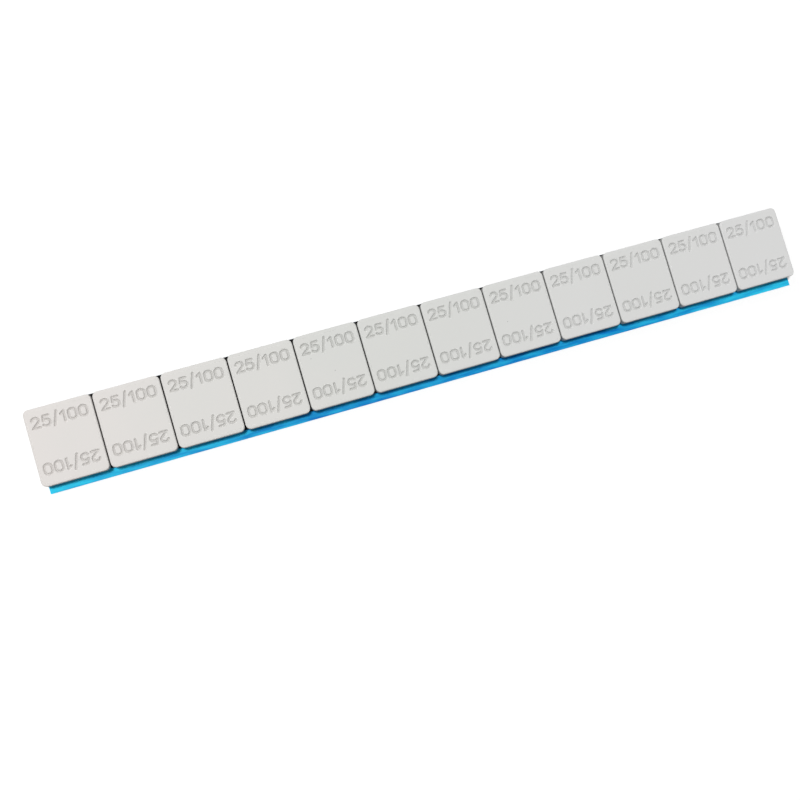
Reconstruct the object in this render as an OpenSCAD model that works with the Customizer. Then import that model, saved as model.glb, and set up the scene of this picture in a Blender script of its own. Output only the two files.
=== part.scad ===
// Stick-on wheel balance weight: a strip of coated steel weights on foam tape.
// The strip lies on its release liner, which sticks out along the front as a pull edge.
// Millimetres, +X along the strip, +Y to the back, +Z up, origin in the middle of the base.

/* [Strip] */
// Number of weights on the strip
weight_count = 12; // [2:1:24]
// Open gap between two neighbouring weights
weight_gap = 0.3; // [0.1:0.05:1.5]

/* [Weight] */
// Length of one weight along the strip
weight_l = 16.4; // [8:0.1:30]
// Width of one weight across the strip
weight_w = 19; // [10:0.1:30]
// Thickness of one weight
weight_h = 2.95; // [2:0.05:8]
// Radius of the four corners seen from above
corner_r = 1.3; // [1:0.1:4]
// Radius rolled onto the top edges by the die
top_r = 0.3; // [0.2:0.05:1.2]
// Radius left on the bottom edges
bottom_r = 0.3; // [0.1:0.05:0.6]

/* [Foam tape] */
// Thickness of the foam tape with its two adhesive faces
foam_t = 1; // [0.4:0.1:3]
// How far the tape stands out behind the weights
foam_back_out = 0.15; // [0:0.05:0.5]
// How far the tape's front edge lies in under the weights
foam_front_in = 0.35; // [0:0.05:1]
// How far the tape's left end stops short of the first weight's end
left_short = 0.7; // [0:0.1:3]
// How far the tape's right end stops short of the last weight's end
right_short = 0.1; // [0:0.1:3]

/* [Release liner] */
// Thickness of the liner film
liner_t = 0.1; // [0.05:0.05:0.5]
// How far the pull edge stands out in front of the weights at the left end
pull_w = 1.8; // [0.5:0.1:8]
// How much farther it stands out at the right end, where the film lies a little askew
pull_flare = 0.3; // [0:0.1:2]

/* [Hidden] */
$fn = 64;
// Distance from one weight to the next
pitch = weight_l + weight_gap;
// Length over all the weights
row_l = weight_count * pitch - weight_gap;
// Middle of the weights across the strip, set so that the whole strip is centred on Y = 0
weights_y = (pull_w + pull_flare - foam_back_out) / 2;
foam_w = weight_w + foam_back_out - foam_front_in;
foam_l = row_l - left_short - right_short;
foam_x = (left_short - right_short) / 2;
foam_back = weights_y + weight_w / 2 + foam_back_out;
liner_front = weights_y - weight_w / 2 - pull_w;
foam_z = liner_t;
weight_z = foam_z + foam_t;
// A rounded top edge is at most as large as the corner and the side that it runs round
edge_r = min(top_r, corner_r, weight_h - bottom_r);

function weight_name(i) = str("weight_", i < 10 ? "0" : "", i);
function weight_x(i) = (i - 0.5) * pitch - (row_l + weight_gap) / 2;

// Section of a weight that is w across: flat base, upright sides and rolled edges
module weight_section(w) {
    translate([-w / 2, bottom_r])
        square([w, weight_h - bottom_r - edge_r]);
    translate([-w / 2 + bottom_r, 0])
        square([w - 2 * bottom_r, weight_h - edge_r]);
    translate([-w / 2 + edge_r, 0])
        square([w - 2 * edge_r, weight_h]);
    for (side = [-1, 1]) {
        translate([side * (w / 2 - edge_r), weight_h - edge_r])
            circle(r = edge_r);
        translate([side * (w / 2 - bottom_r), bottom_r])
            circle(r = bottom_r);
    }
}

// The section carried straight for a length, across or along the strip
module weight_bar(w, l) {
    rotate([90, 0, 0])
        linear_extrude(height = l, center = true)
            weight_section(w);
}

// The section turned round a corner, so that the rolled edge runs on without a break
module weight_corner() {
    rotate_extrude()
        intersection() {
            weight_section(2 * corner_r);
            square([corner_r, weight_h]);
        }
}

// One weight, pressed from mild steel bar and powder coated
module weight(i) {
    color([0.83, 0.83, 0.81])
        translate([weight_x(i), weights_y, weight_z]) {
            weight_bar(weight_l, weight_w - 2 * corner_r);
            rotate(90)
                weight_bar(weight_w, weight_l - 2 * corner_r);
            for (x_side = [-1, 1], y_side = [-1, 1])
                translate([x_side * (weight_l / 2 - corner_r), y_side * (weight_w / 2 - corner_r), 0])
                    weight_corner();
        }
}

// Double-sided foam tape, one length that holds all the weights in a row
module foam_tape() {
    color([0.06, 0.06, 0.06])
        translate([foam_x - foam_l / 2, foam_back - foam_w, foam_z])
            cube([foam_l, foam_w, foam_t]);
}

// Blue film that covers the lower adhesive until the strip is used, cut off with the tape
module release_liner() {
    color([0.06, 0.54, 0.78])
        translate([foam_x, 0, 0])
            linear_extrude(height = liner_t)
                polygon([
                    [-foam_l / 2, liner_front],
                    [foam_l / 2, liner_front - pull_flare],
                    [foam_l / 2, foam_back],
                    [-foam_l / 2, foam_back],
                ]);
}

for (i = [1:weight_count])
    weight(i);
foam_tape();
release_liner();
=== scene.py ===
from math import cos, hypot, pi, radians, sin, sqrt

import bpy
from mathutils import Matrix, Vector, noise


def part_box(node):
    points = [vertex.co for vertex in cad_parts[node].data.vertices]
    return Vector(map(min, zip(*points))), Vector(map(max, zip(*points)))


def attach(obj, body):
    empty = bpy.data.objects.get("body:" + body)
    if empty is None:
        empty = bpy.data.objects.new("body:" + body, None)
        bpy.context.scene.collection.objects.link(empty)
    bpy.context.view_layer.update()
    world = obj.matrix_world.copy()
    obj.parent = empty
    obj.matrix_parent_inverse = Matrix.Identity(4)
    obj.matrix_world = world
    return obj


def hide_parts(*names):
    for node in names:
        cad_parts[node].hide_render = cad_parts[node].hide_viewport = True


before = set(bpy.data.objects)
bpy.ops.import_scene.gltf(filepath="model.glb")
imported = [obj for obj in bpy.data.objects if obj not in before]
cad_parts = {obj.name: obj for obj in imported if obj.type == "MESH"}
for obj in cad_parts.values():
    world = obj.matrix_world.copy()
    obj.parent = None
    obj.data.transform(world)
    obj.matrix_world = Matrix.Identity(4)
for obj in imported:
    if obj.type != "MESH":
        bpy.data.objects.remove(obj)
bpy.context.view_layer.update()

# Release liner: a thin blue polyethylene film that covers the lower adhesive. It is slit from a
# roll wider than the tape, so that its front edge stands out as a pull edge for a finger, and it
# is cut off at the ends together with the tape.
mm = 0.001
(liner_x0, liner_y0, liner_z0), (liner_x1, liner_y1, liner_z1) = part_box("release_liner")
(tape_x0, tape_y0, tape_z0), (tape_x1, tape_y1, tape_z1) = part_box("foam_tape")
pull_flare = 0.3 * mm
ripple = 0.06 * mm
ripple_length = 9 * mm
slit_wander = 0.04 * mm
wander_length = 5 * mm
film_grid_along = 0.8 * mm
film_grid_out = 0.3 * mm
film_grid_under = 2 * mm
liner_blue = (0.001, 0.2, 0.62)
liner_blue_pale = (0.035, 0.69, 0.98)
# The film is paler in streaks, and towards its ends as painted light: places along it, each with
# how pale it is painted
streak_scale = 1100
streak_stretch = 0.15
streak_share = 0.5
painted_light_places = (0, 0.58), (0.35, 0), (0.75, 0), (1, 0.55)


def spaced(start, end, step):
    """Values from start to end, as near step apart as whole steps allow."""
    count = max(1, round((end - start) / step))
    return [start + (end - start) * i / count for i in range(count + 1)]


def skin(name, xs, ys, zs, shape, flat_base=False):
    """The closed skin of a block with grid lines xs, ys and zs, each point moved by shape."""
    last_i, last_j, last_k = len(xs) - 1, len(ys) - 1, len(zs) - 1
    points, faces, index = [], [], {}

    def point(i, j, k):
        if (i, j, k) not in index:
            index[i, j, k] = len(points)
            points.append(shape(xs[i], ys[j], zs[k]))
        return index[i, j, k]

    for i in range(last_i):
        for j in range(last_j):
            corners = (i, j), (i + 1, j), (i + 1, j + 1), (i, j + 1)
            faces.append([point(a, b, last_k) for a, b in corners])
            if not flat_base:
                faces.append([point(a, b, 0) for a, b in reversed(corners)])
    ring = [(i, 0) for i in range(last_i)] + [(last_i, j) for j in range(last_j)]
    ring += [(i, last_j) for i in range(last_i, 0, -1)] + [(0, j) for j in range(last_j, 0, -1)]
    for (a, b), (c, d) in zip(ring, ring[1:] + ring[:1]):
        for k in range(last_k):
            faces.append([point(a, b, k), point(c, d, k), point(c, d, k + 1), point(a, b, k + 1)])
    if flat_base:
        faces.append([point(a, b, 0) for a, b in reversed(ring)])
    mesh = bpy.data.meshes.new(name)
    mesh.from_pydata(points, [], faces)
    return mesh


def add_piece(name, mesh, *replaced, slot):
    """An object at the origin that stands for the CAD nodes replaced."""
    piece = bpy.data.objects.new(name, mesh)
    bpy.context.scene.collection.objects.link(piece)
    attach(piece, "root")
    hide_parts(*replaced)
    return piece


def drift(along, seed):
    """A smooth value between about -1 and 1 that wanders along a length, differently by seed."""
    return noise.noise(Vector((along, seed, 0)))


def film_shape(x, y, z):
    """The pull edge stands out farther to the right, ripples a little and has a slit edge."""
    along = (x - liner_x0) / (liner_x1 - liner_x0)
    out = min(max((tape_y0 - y) / (tape_y0 - liner_y0 - pull_flare), 0), 1)
    lift = ripple * (0.5 + 0.5 * drift(x / ripple_length, seed=3.1))
    wander = slit_wander * (0.5 + 0.5 * drift(x / wander_length, seed=7.7))
    return x, y - out * (pull_flare * along - wander), z + out ** 2 * lift


def new_material(name):
    """A node material, its tree and its Principled shader."""
    material = bpy.data.materials.new(name)
    material.use_nodes = True
    return material, material.node_tree, material.node_tree.nodes["Principled BSDF"]


def fill(tree, node, inputs):
    """Gives inputs of a node, by name or number, a value each or an output socket to link."""
    for key, value in inputs.items():
        if isinstance(value, bpy.types.NodeSocket):
            tree.links.new(value, node.inputs[key])
        else:
            node.inputs[key].default_value = value


def add_node(tree, kind, inputs={}, **settings):
    """A new node of this kind with its settings made and its inputs filled."""
    node = tree.nodes.new(kind)
    for name, setting in settings.items():
        setattr(node, name, setting)
    fill(tree, node, inputs)
    return node


def math_node(tree, operation, *operands):
    """The result of a math node; each operand is an output socket or a number."""
    node = add_node(tree, "ShaderNodeMath", dict(enumerate(operands)), operation=operation)
    return node.outputs["Value"]


def color_ramp(tree, value, stops):
    """The colour that value picks from stops, given as (place, colour) from place 0 to 1."""
    ramp = add_node(tree, "ShaderNodeValToRGB", {"Fac": value})
    elements = ramp.color_ramp.elements
    for at, _ in stops[1:-1]:
        elements.new(at)
    for element, (_, color) in zip(elements, stops):
        element.color = (*color, 1)
    return ramp.outputs["Color"]


liner_mesh = skin(
    "liner_film",
    spaced(liner_x0, liner_x1, film_grid_along),
    spaced(liner_y0 + pull_flare, tape_y0, film_grid_out)
    + spaced(tape_y0, liner_y1, film_grid_under)[1:],
    [liner_z0, liner_z1], film_shape)

film, tree, shader = new_material("blue_polyethylene_film")
place = add_node(tree, "ShaderNodeTexCoord").outputs["Object"]
split = add_node(tree, "ShaderNodeSeparateXYZ", {"Vector": place})
along = add_node(tree, "ShaderNodeMapRange", {
    "Value": split.outputs["X"], "From Min": liner_x0, "From Max": liner_x1})
# Painted light: the film is made paler towards both of its ends
painted_end_light = color_ramp(
    tree, along.outputs["Result"], [(at, (share, share, share)) for at, share in painted_light_places])
stretch = add_node(tree, "ShaderNodeMapping", {
    "Vector": place, "Scale": (streak_stretch, 1, 1)})
streaks = add_node(tree, "ShaderNodeTexNoise", {
    "Vector": stretch.outputs["Vector"], "Scale": streak_scale, "Detail": 4})
streak_paleness = add_node(tree, "ShaderNodeMapRange", {
    "Value": streaks.outputs["Fac"], "From Min": 0.35, "From Max": 0.65, "To Max": streak_share})
tint = add_node(tree, "ShaderNodeMix", {
    "Factor": math_node(tree, "ADD", streak_paleness.outputs["Result"], painted_end_light),
    "A": (*liner_blue, 1), "B": (*liner_blue_pale, 1)}, data_type="RGBA")
bump = add_node(tree, "ShaderNodeBump", {
    "Height": streaks.outputs["Fac"], "Strength": 0.3, "Distance": 0.02 * mm})
fill(tree, shader, {
    "Base Color": tint.outputs["Result"], "Normal": bump.outputs["Normal"],
    "Roughness": 0.5, "Specular IOR Level": 0.05})
liner_mesh.materials.append(film)
add_piece("liner_film", liner_mesh, "release_liner", slot="blue_film")

# Foam tape: one length of black closed-cell foam with adhesive on both faces. Its long sides are
# slit and its ends are cut, so that they show open cells and draw in a little between the two
# adhesive faces.
cell_size = 0.22 * mm
cell_depth = 0.05 * mm
side_draw_in = 0.06 * mm
foam_grid_along = 0.2 * mm
foam_grid_up = 0.1 * mm
foam_grid_inside = 4 * mm
side_band = 0.4 * mm
inside_from = 1 * mm
foam_black = (0.003, 0.003, 0.003)
foam_black_pale = (0.012, 0.012, 0.013)
foam_mesh = skin(
    "foam_blank",
    spaced(tape_x0, tape_x1, foam_grid_along),
    [tape_y0, tape_y0 + side_band]
    + spaced(tape_y0 + inside_from, tape_y1 - inside_from, foam_grid_inside)
    + [tape_y1 - side_band, tape_y1],
    spaced(tape_z0, tape_z1, foam_grid_up), lambda x, y, z: (x, y, z))

foam, tree, shader = new_material("black_closed_cell_foam")
place = add_node(tree, "ShaderNodeTexCoord").outputs["Object"]
cells = add_node(tree, "ShaderNodeTexVoronoi", {"Vector": place, "Scale": 1 / cell_size})
shade = add_node(tree, "ShaderNodeMix", {
    "Factor": cells.outputs["Distance"], "A": (*foam_black, 1), "B": (*foam_black_pale, 1)},
    data_type="RGBA")
bump = add_node(tree, "ShaderNodeBump", {
    "Height": cells.outputs["Distance"], "Strength": 0.6, "Distance": 0.03 * mm})
fill(tree, shader, {
    "Base Color": shade.outputs["Result"], "Normal": bump.outputs["Normal"],
    "Roughness": 0.85, "Specular IOR Level": 0.15})


def new_tree(name, sockets):
    """A geometry tree, the sockets of its mesh and named inputs, and its output node."""
    tree = bpy.data.node_groups.new(name, "GeometryNodeTree")
    tree.interface.new_socket("Geometry", in_out="INPUT", socket_type="NodeSocketGeometry")
    for label, kind in sockets:
        tree.interface.new_socket(label, in_out="INPUT", socket_type="NodeSocket" + kind)
    tree.interface.new_socket("Geometry", in_out="OUTPUT", socket_type="NodeSocketGeometry")
    return tree, tree.nodes.new("NodeGroupInput").outputs, tree.nodes.new("NodeGroupOutput")


def finish_tree(tree, geometry, result, material):
    """Ends a tree in real, smooth geometry that carries its material."""
    real = add_node(tree, "GeometryNodeRealizeInstances", {"Geometry": geometry})
    smooth = add_node(tree, "GeometryNodeSetShadeSmooth", {"Geometry": real.outputs["Geometry"]})
    paint = add_node(tree, "GeometryNodeSetMaterial", {
        "Geometry": smooth.outputs["Geometry"], "Material": material})
    fill(tree, result, {"Geometry": paint.outputs["Geometry"]})


def baked(name, mesh, tree, values):
    """The plain mesh that the tree makes of mesh with these values of its named inputs."""
    blank = bpy.data.objects.new(name, mesh)
    bpy.context.scene.collection.objects.link(blank)
    modifier = blank.modifiers.new(name, "NODES")
    modifier.node_group = tree
    for item in tree.interface.items_tree:
        if item.in_out == "INPUT" and item.name in values:
            modifier[item.identifier] = values[item.name]
    depsgraph = bpy.context.evaluated_depsgraph_get()
    made = bpy.data.meshes.new_from_object(blank.evaluated_get(depsgraph), depsgraph=depsgraph)
    made.name = name
    blank.modifiers.remove(modifier)
    bpy.data.objects.remove(blank)
    return made


tree, given, result = new_tree("cut_foam", (
    ("Cell size", "Float"), ("Cell depth", "Float"), ("Draw in", "Float"), ("Height", "Float")))
position = add_node(tree, "GeometryNodeInputPosition").outputs["Position"]
normal = add_node(tree, "GeometryNodeInputNormal").outputs["Normal"]
split = add_node(tree, "ShaderNodeSeparateXYZ", {"Vector": position})
facing = add_node(tree, "ShaderNodeSeparateXYZ", {"Vector": normal})
pits = add_node(tree, "ShaderNodeTexVoronoi", {
    "Vector": position, "Scale": math_node(tree, "DIVIDE", 1, given["Cell size"])})
level = math_node(
    tree, "DIVIDE", math_node(tree, "SUBTRACT", split.outputs["Z"], tape_z0), given["Height"])
# 0 at both adhesive faces and 1 half way between them
waist = math_node(tree, "MULTIPLY", math_node(
    tree, "MULTIPLY", level, math_node(tree, "SUBTRACT", 1, level)), 4)
open_cell = math_node(tree, "SUBTRACT", 1, pits.outputs["Distance"])
inward = math_node(tree, "MULTIPLY_ADD", waist, given["Draw in"], math_node(
    tree, "MULTIPLY", math_node(tree, "MULTIPLY", open_cell, waist), given["Cell depth"]))
sideways = add_node(tree, "ShaderNodeCombineXYZ", {
    "X": facing.outputs["X"], "Y": facing.outputs["Y"]})
push = add_node(tree, "ShaderNodeVectorMath", {
    "Vector": sideways.outputs["Vector"], "Scale": math_node(tree, "MULTIPLY", inward, -1)},
    operation="SCALE")
move = add_node(tree, "GeometryNodeSetPosition", {
    "Geometry": given["Geometry"], "Offset": push.outputs["Vector"]})
finish_tree(tree, move.outputs["Geometry"], result, foam)
foam_cut = baked("foam_tape_cut", foam_mesh, tree, {
    "Cell size": cell_size, "Cell depth": cell_depth, "Draw in": side_draw_in,
    "Height": tape_z1 - tape_z0})
add_piece("foam_tape_cut", foam_cut, "foam_tape", slot="black_foam")

# Weights: rectangular blanks pressed from mild steel bar, with rolled top edges. A punch leaves
# the same row of figures near both long edges, and a light grey powder coat softens it all. Each
# is stuck on the tape by itself, so the row is a little uneven.
weight_nodes = sorted(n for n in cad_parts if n.startswith("weight_"))
low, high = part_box(weight_nodes[0])
half_l, half_w, height = (high[0] - low[0]) / 2, (high[1] - low[1]) / 2, high[2] - low[2]
half_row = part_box(weight_nodes[-1])[1][0]
# The radii of the corners and edges, the steps round the edges, and the grid lines between
corner_r = 1.3 * mm
top_r = 0.3 * mm
top_steps = 6
bottom_r = 0.3 * mm
bottom_steps = 4
grid_fine = 0.085 * mm
grid_coarse = 0.5 * mm
grid_wall = 0.65 * mm
fine_from = 0.2 * mm
# The two rows of figures: the size of a figure, each row's distance from the middle, the shift
# of both, the fine grid's margin round them, and a stroke's half width, sloping wall and depth
figure_height = 2.45 * mm
figure_unit_w = 3.1 * mm
figure_row = 5.7 * mm
row_offset = 0.2 * mm
row_margin = 0.95 * mm
stroke_half = 0.1 * mm
wall_width = 0.24 * mm
punch_depth = 0.34 * mm
# The coat: its greys from the first weight to the last, lighter at the left end as painted light,
# how far they drift, and the painted shade that darkens it in the figures and on the walls
coat_greys_with_painted_light = (0, (0.74, 0.705, 0.68)), (0.4, (0.665, 0.67, 0.645)), (1, (0.705, 0.705, 0.7))
tone_drift = 0.2
recess_painted_darkness = 0.8
wall_painted_darkness = 0.4
cloud_scale = 40
peel_scale = 900
grain_scale = 5200
# Specks of dirt in the coat: the weight, and the speck's place on it as a share of its length
# from the left and of its width from the back
coat_specks = ("weight_05", 0.195, 0.33), ("weight_05", 0.5, 0.56), ("weight_08", 0.245, 0.55)
speck_r = 0.09 * mm
speck_blur = 0.3
speck_dirt = 0.75
speck_color = (0.02, 0.02, 0.02)


def plan(x, y):
    """A point of the blank seen from above: its place, outward direction and depth inside."""
    qx, qy = abs(x) - (half_l - corner_r), abs(y) - (half_w - corner_r)
    inside = min(half_l - abs(x), half_w - abs(y))
    side_x, side_y = (1 if x > 0 else -1), (1 if y > 0 else -1)
    if qx <= 0 or qy <= 0:
        out = (side_x, 0) if half_l - abs(x) < half_w - abs(y) else (0, side_y)
        return x, y, out, inside
    shrink = max(qx, qy) / hypot(qx, qy)
    out = (side_x * qx / hypot(qx, qy), side_y * qy / hypot(qx, qy))
    px = side_x * (half_l - corner_r + qx * shrink)
    py = side_y * (half_w - corner_r + qy * shrink)
    return px, py, out, inside


def blank_shape(x, y, z):
    """A point of the blank: rolled over at the top edge and drawn in at the bottom edge."""
    px, py, (out_x, out_y), inside = plan(x, y)
    if z >= height - top_r:
        if z == height and inside < top_r:
            z = height - top_r + sqrt(max(top_r ** 2 - (top_r - inside) ** 2, 0))
        return px, py, z
    draw = bottom_r - sqrt(max(bottom_r ** 2 - (bottom_r - min(z, bottom_r)) ** 2, 0))
    return px - out_x * draw, py - out_y * draw, z


def lines(half, bands):
    """Grid lines from -half to half: rolled edges, fine bands (in pairs) and coarse between."""
    edge = [half - top_r * (1 - cos(pi / 2 * i / top_steps)) for i in range(top_steps + 1)]
    stops = [-edge[-1]] + bands + [edge[-1]]
    inner = []
    for n, (a, b) in enumerate(zip(stops, stops[1:])):
        inner += spaced(a, b, grid_fine if n % 2 else grid_coarse)[:-1]
    return [-e for e in edge[:-1]] + inner + edge[::-1]


reach = figure_height / 2 + row_margin
figure_bands = [row + side * reach for row in (row_offset - figure_row, row_offset + figure_row)
                for side in (-1, 1)]
heights = [bottom_r * (1 - cos(pi / 2 * i / bottom_steps)) for i in range(bottom_steps + 1)]
heights += spaced(bottom_r, height - top_r, grid_wall)[1:] + [height]
blank_mesh = skin(
    "pressed_blank", lines(half_l, [-half_l + top_r + fine_from, half_l - top_r - fine_from]),
    lines(half_w, figure_bands), heights, blank_shape, flat_base=True)

# Painted shade on the walls, which stands for the shade in the narrow gaps between the weights: it
# grows over the lower half of the rolled top edge.
painted_shade_on_walls = blank_mesh.attributes.new("painted_shade_on_walls", "FLOAT", "POINT")
for vertex, share in zip(blank_mesh.vertices, painted_shade_on_walls.data):
    share.value = min(max((height - vertex.co.z) / top_r - 0.5, 0), 0.5) * 2

# The punch: plain figures drawn as single strokes. Each is given with its width, in units of
# figure_unit_w, and its strokes, which stand 1 high from a base line at 0.
figure_text = "25/100"
figure_space = 0.26
arc_step = 10


def arc(cx, cy, rx, ry, start, end):
    """Points of an elliptical arc, in degrees counted anticlockwise."""
    count = max(2, round(abs(end - start) / arc_step))
    turns = [radians(start + (end - start) * i / count) for i in range(count + 1)]
    return [(cx + rx * cos(t), cy + ry * sin(t)) for t in turns]


figures = {
    "0": (0.58, [arc(0.29, 0.71, 0.29, 0.29, 0, 180) + arc(0.29, 0.29, 0.29, 0.29, 180, 360)
                 + [(0.58, 0.71)]]),
    "1": (0.34, [[(0.0, 0.76), (0.26, 1.0), (0.26, 0.0)]]),
    "2": (0.56, [arc(0.28, 0.71, 0.28, 0.29, 165, -35) + [(0.0, 0.0), (0.56, 0.0)]]),
    "5": (0.56, [[(0.52, 1.0), (0.1, 1.0), (0.04, 0.52)] + arc(0.26, 0.32, 0.3, 0.32, 125, -145)]),
    "/": (0.34, [[(0.0, -0.2), (0.34, 1.2)]]),
}
text_width = sum(figures[c][0] for c in figure_text) + figure_space * (len(figure_text) - 1)
punch_points, punch_edges = [], []
pen = -text_width / 2
for character in figure_text:
    width, strokes = figures[character]
    for stroke in strokes:
        first = len(punch_points)
        punch_points += [((pen + u) * figure_unit_w, (v - 0.5) * figure_height, 0)
                         for u, v in stroke]
        punch_edges += [(i, i + 1) for i in range(first, len(punch_points) - 1)]
    pen += width + figure_space
punch_mesh = bpy.data.meshes.new("figure_punch")
punch_mesh.from_pydata(punch_points, punch_edges, [])
punch = bpy.data.objects.new("figure_punch", punch_mesh)
bpy.context.scene.collection.objects.link(punch)

coat, tree, shader = new_material("light_grey_powder_coat")
place = add_node(tree, "ShaderNodeTexCoord").outputs["Object"]
split = add_node(tree, "ShaderNodeSeparateXYZ", {"Vector": place})
along = add_node(tree, "ShaderNodeMapRange", {
    "Value": split.outputs["X"], "From Min": -half_row, "From Max": half_row})
cloud = add_node(tree, "ShaderNodeTexNoise", {
    "Vector": place, "Scale": cloud_scale, "Detail": 3})
cloudy = add_node(tree, "ShaderNodeMapRange", {
    "Value": cloud.outputs["Fac"], "To Min": -tone_drift, "To Max": tone_drift})
# Painted light: the greys make the coat lighter towards the left end of the row
color = color_ramp(tree, math_node(
    tree, "ADD", along.outputs["Result"], cloudy.outputs["Result"]), coat_greys_with_painted_light)
# Painted shade: the coat is darkened in the punched figures and on the walls
for attribute, dark in (("punched", recess_painted_darkness), ("painted_shade_on_walls", wall_painted_darkness)):
    share = add_node(tree, "ShaderNodeAttribute", attribute_name=attribute)
    color = add_node(tree, "ShaderNodeMix", {
        "Factor": share.outputs["Fac"], "A": color, "B": (dark, dark, dark, 1)},
        data_type="RGBA", blend_type="MULTIPLY").outputs["Result"]
for node, along_share, across_share in coat_specks:
    low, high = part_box(node)
    speck = (low[0] + along_share * (high[0] - low[0]),
             high[1] - across_share * (high[1] - low[1]), high[2])
    away = add_node(tree, "ShaderNodeVectorMath", {0: place, 1: speck}, operation="DISTANCE")
    spot = add_node(tree, "ShaderNodeMapRange", {
        "Value": away.outputs["Value"], "From Min": (1 - speck_blur) * speck_r,
        "From Max": (1 + speck_blur) * speck_r, "To Min": speck_dirt, "To Max": 0})
    color = add_node(tree, "ShaderNodeMix", {
        "Factor": spot.outputs["Result"], "A": color, "B": (*speck_color, 1)},
        data_type="RGBA").outputs["Result"]
peel = add_node(tree, "ShaderNodeTexNoise", {"Vector": place, "Scale": peel_scale, "Detail": 2})
peel_bump = add_node(tree, "ShaderNodeBump", {
    "Height": peel.outputs["Fac"], "Strength": 0.5, "Distance": 0.02 * mm})
grains = add_node(tree, "ShaderNodeTexNoise", {"Vector": place, "Scale": grain_scale, "Detail": 3})
grain_bump = add_node(tree, "ShaderNodeBump", {
    "Height": grains.outputs["Fac"], "Strength": 0.35, "Distance": 0.012 * mm,
    "Normal": peel_bump.outputs["Normal"]})
fill(tree, shader, {
    "Base Color": color, "Normal": grain_bump.outputs["Normal"], "Roughness": 0.6, "IOR": 1.5})

tree, given, result = new_tree("punch_and_place", (
    ("Punch", "Object"), ("Row distance", "Float"), ("Row offset", "Float"),
    ("Face height", "Float"), ("Stroke half width", "Float"), ("Wall width", "Float"),
    ("Depth", "Float"), ("Place", "Vector"), ("Turn", "Float")))
start = add_node(tree, "ShaderNodeCombineXYZ", {
    "Y": math_node(tree, "ADD", given["Row distance"], given["Row offset"]),
    "Z": given["Face height"]})
step = add_node(tree, "ShaderNodeCombineXYZ", {
    "Y": math_node(tree, "MULTIPLY", given["Row distance"], -2)})
rows = add_node(tree, "GeometryNodeMeshLine", {
    "Count": 2, "Start Location": start.outputs["Vector"], "Offset": step.outputs["Vector"]})
index = add_node(tree, "GeometryNodeInputIndex")
half_turn = add_node(tree, "ShaderNodeCombineXYZ", {
    "Z": math_node(tree, "MULTIPLY", index.outputs["Index"], pi)})
tool = add_node(tree, "GeometryNodeObjectInfo", {"Object": given["Punch"]})
stamps = add_node(tree, "GeometryNodeInstanceOnPoints", {
    "Points": rows.outputs["Mesh"], "Instance": tool.outputs["Geometry"],
    "Rotation": half_turn.outputs["Vector"]})
real_stamps = add_node(tree, "GeometryNodeRealizeInstances", {
    "Geometry": stamps.outputs["Instances"]})
near = add_node(tree, "GeometryNodeProximity", {
    "Geometry": real_stamps.outputs["Geometry"]}, target_element="EDGES")
press = add_node(tree, "ShaderNodeMapRange", {
    "Value": near.outputs["Distance"], "From Min": given["Stroke half width"],
    "From Max": math_node(tree, "ADD", given["Stroke half width"], given["Wall width"]),
    "To Min": 1, "To Max": 0}, interpolation_type="SMOOTHSTEP")
keep = add_node(tree, "GeometryNodeStoreNamedAttribute", {
    "Geometry": given["Geometry"], "Name": "punched", "Value": press.outputs["Result"]})
read = add_node(tree, "GeometryNodeInputNamedAttribute", {"Name": "punched"})
sunk = math_node(tree, "MULTIPLY", read.outputs["Attribute"], given["Depth"])
sink = add_node(tree, "ShaderNodeCombineXYZ", {"Z": math_node(tree, "MULTIPLY", sunk, -1)})
move = add_node(tree, "GeometryNodeSetPosition", {
    "Geometry": keep.outputs["Geometry"], "Offset": sink.outputs["Vector"]})
turn = add_node(tree, "ShaderNodeCombineXYZ", {"Z": given["Turn"]})
put = add_node(tree, "GeometryNodeTransform", {
    "Geometry": move.outputs["Geometry"], "Translation": given["Place"],
    "Rotation": turn.outputs["Vector"]})
finish_tree(tree, put.outputs["Geometry"], result, coat)

# How far a weight may sit out of line, and how far it may be turned
row_shift = 0.03 * mm
row_turn = radians(0.12)
for n, node in enumerate(weight_nodes):
    low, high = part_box(node)
    shift = drift(n * 1.7, seed=0.3) * row_shift
    middle = ((low[0] + high[0]) / 2, (low[1] + high[1]) / 2 + shift, low[2])
    mesh = baked("coated_" + node, blank_mesh, tree, {
        "Punch": punch, "Row distance": figure_row, "Row offset": row_offset,
        "Face height": height, "Stroke half width": stroke_half, "Wall width": wall_width,
        "Depth": punch_depth, "Place": middle, "Turn": drift(n * 2.3, seed=5.9) * row_turn})
    add_piece("coated_" + node, mesh, node, slot="coated_steel")
bpy.data.objects.remove(punch)

# Floor: a plain white sheet under the strip, which keeps the strip's own soft shadow. To the
# camera it glows a little, and more far off, so that it stays white up to the horizon.
floor_half = 2.0
floor_drop = 0.02 * mm
floor_grey = 0.86
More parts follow.
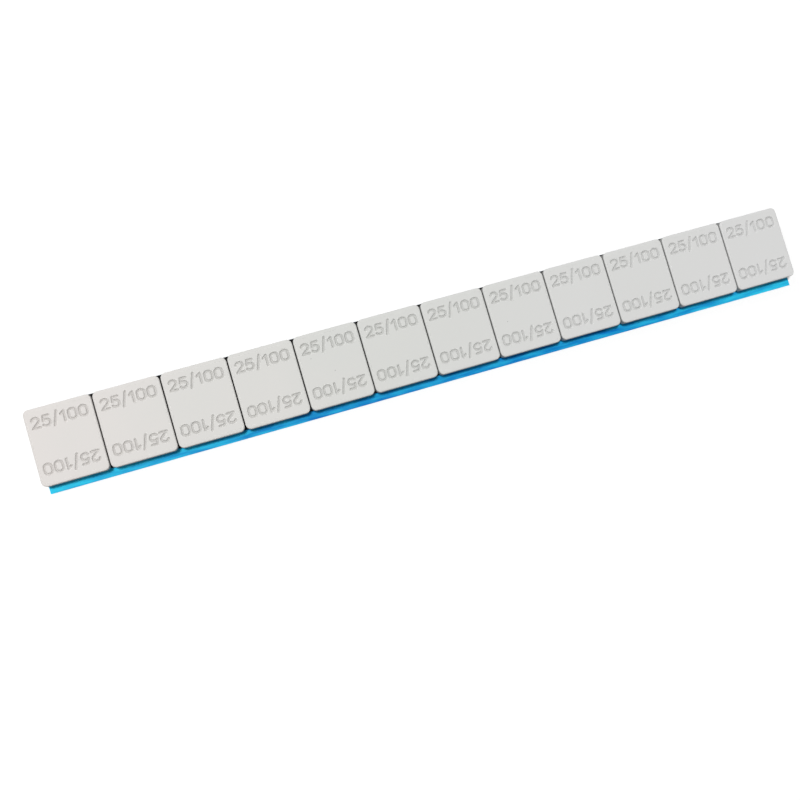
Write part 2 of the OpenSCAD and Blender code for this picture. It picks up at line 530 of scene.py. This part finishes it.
# The glow near the strip, and the distances in metres from which and to which it grows to 1
near_glow = 0.25
glow_from = 0.3
glow_to = 1.1
floor_mesh = bpy.data.meshes.new("white_floor")
floor_mesh.from_pydata(
    [(-floor_half, -floor_half, 0), (floor_half, -floor_half, 0),
     (floor_half, floor_half, 0), (-floor_half, floor_half, 0)], [], [(0, 1, 2, 3)])
floor = bpy.data.objects.new("white_floor", floor_mesh)
bpy.context.scene.collection.objects.link(floor)
floor.location.z = -floor_drop
paper, tree, shader = new_material("white_paper")
rays = add_node(tree, "ShaderNodeLightPath")
place = add_node(tree, "ShaderNodeTexCoord").outputs["Object"]
away = add_node(tree, "ShaderNodeVectorMath", {0: place}, operation="LENGTH")
far = add_node(tree, "ShaderNodeMapRange", {
    "Value": away.outputs["Value"], "From Min": glow_from, "From Max": glow_to,
    "To Min": near_glow, "To Max": 1})
fill(tree, shader, {
    "Base Color": (floor_grey, floor_grey, floor_grey, 1), "Roughness": 1,
    "Specular IOR Level": 0, "Emission Color": (1, 1, 1, 1),
    "Emission Strength": math_node(
        tree, "MULTIPLY", rays.outputs["Is Camera Ray"], far.outputs["Result"])})
floor_mesh.materials.append(paper)

# Light: a soft dome all round, which the camera sees as plain white, a lamp almost overhead, and
# a weaker, lower one at the back left, which brings out the figures.
dome_strength = 0.28
world = bpy.data.worlds.new("soft_dome")
bpy.context.scene.world = world
world.use_nodes = True
tree = world.node_tree
rays = add_node(tree, "ShaderNodeLightPath")
strength = add_node(tree, "ShaderNodeMapRange", {
    "Value": rays.outputs["Is Camera Ray"], "To Min": dome_strength, "To Max": 1})
fill(tree, tree.nodes["Background"], {
    "Color": (1, 1, 1, 1), "Strength": strength.outputs["Result"]})

for name, diameter, watts, spot in (("overhead_lamp", 0.28, 21.5, (-0.28, 0.29, 1.8)),
                                    ("low_lamp", 0.4, 4.8, (-0.75, 1.3, 1.0))):
    lamp_data = bpy.data.lights.new(name, "AREA")
    lamp_data.shape = "DISK"
    lamp_data.size = diameter
    lamp_data.energy = watts
    lamp = bpy.data.objects.new(name, lamp_data)
    bpy.context.scene.collection.objects.link(lamp)
    lamp.location = spot
    lamp.rotation_euler = (-lamp.location).to_track_quat("-Z", "Y").to_euler()

# Camera: above the left half of the strip and a little in front of it, looking almost straight
# down, and turned so that the strip rises to the right.
camera_data = bpy.data.cameras.new("camera")
camera_data.lens = 44.84
camera_data.sensor_width = 36
camera = bpy.data.objects.new("camera", camera_data)
bpy.context.scene.collection.objects.link(camera)
camera.location = (-46.62 * mm, -21.9 * mm, 251.03 * mm)
camera.rotation_euler = [radians(degrees) for degrees in (4.521, -7.114, -16.388)]
bpy.context.scene.camera = camera
bpy.context.scene.view_settings.view_transform = "Standard"
